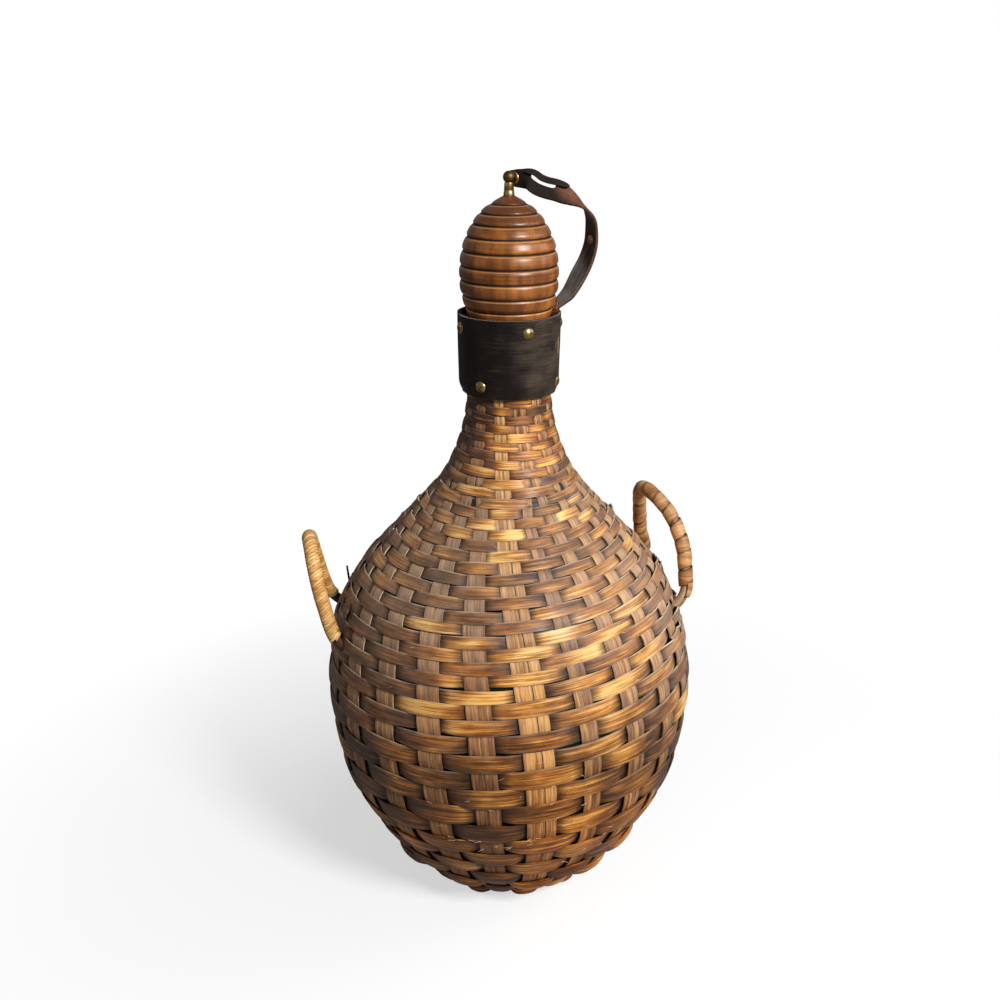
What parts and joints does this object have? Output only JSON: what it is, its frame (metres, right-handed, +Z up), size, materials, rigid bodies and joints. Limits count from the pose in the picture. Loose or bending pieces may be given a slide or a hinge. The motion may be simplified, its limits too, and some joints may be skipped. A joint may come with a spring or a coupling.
{
  "type": "wicker demijohn",
  "caption": "Round glass demijohn in a woven wicker cover, with a leather collar, a ribbed wooden stopper on a leather tether and wrapped rattan carrying handles.",
  "frame": {"origin": "centre of the base, on the surface where the demijohn stands", "axes": "+Z up along the bottle's axis; the pictured front faces -Y; the strap's root is towards +X"},
  "size_m": [0.2625, 0.2518, 0.4852],
  "materials": {
    "green_glass": "clear green glass",
    "wicker": "dark stained split cane, satin",
    "stake_cane": "golden split cane, satin",
    "black_leather": "black waxed leather, worn",
    "strap_leather": "black smooth side, brown suede side",
    "turned_wood": "reddish brown, varnished",
    "cork": "natural cork, matt",
    "brass": "polished",
    "dark_brass": "tarnished",
    "rattan_core": "pale peeled rattan, matt",
    "light_cane_wrap": "light tan flat cane",
    "brown_cane_wrap": "brown flat cane, worn"
  },
  "bodies": {
    "demijohn": {"glass_bottle": "green_glass", "base_disc": "wicker", "foot_border": "wicker", "wicker_cover": "wicker", "leather_collar": "black_leather", "leather_strap": "strap_leather", "strap_rivet": "dark_brass", "left_handle_core": "rattan_core", "left_handle_wrap": "light_cane_wrap", "right_handle_core": "rattan_core", "right_handle_wrap": "brown_cane_wrap", "stake_01": "stake_cane", "stake_02": "stake_cane", "stake_03": "stake_cane", "stake_04": "stake_cane", "stake_05": "stake_cane", "stake_06": "stake_cane", "stake_07": "stake_cane", "stake_08": "stake_cane", "stake_09": "stake_cane", "stake_10": "stake_cane", "stake_11": "stake_cane", "stake_12": "stake_cane", "stake_13": "stake_cane", "stake_14": "stake_cane", "stake_15": "stake_cane", "stake_16": "stake_cane", "stake_17": "stake_cane", "stake_18": "stake_cane", "stake_19": "stake_cane", "stake_20": "stake_cane", "stake_21": "stake_cane", "stake_22": "stake_cane", "stake_23": "stake_cane", "collar_nail_1": "brass", "collar_nail_2": "brass", "collar_nail_3": "brass", "collar_nail_4": "brass", "collar_nail_5": "brass", "collar_nail_6": "brass", "collar_nail_7": "brass", "collar_nail_8": "brass"},
    "stopper": {"stopper_head": "turned_wood", "stopper_cork": "cork", "brass_knob": "brass", "knob_pin": "brass", "strap_eyelet": "brass"}
  },
  "joints": [
    {"name": "stopper_lift", "type": "slide", "parent": "demijohn", "child": "stopper", "axis": [0, 0, 1], "range_m": [0, 0.028], "deforming": ["leather_strap"]}
  ]
}
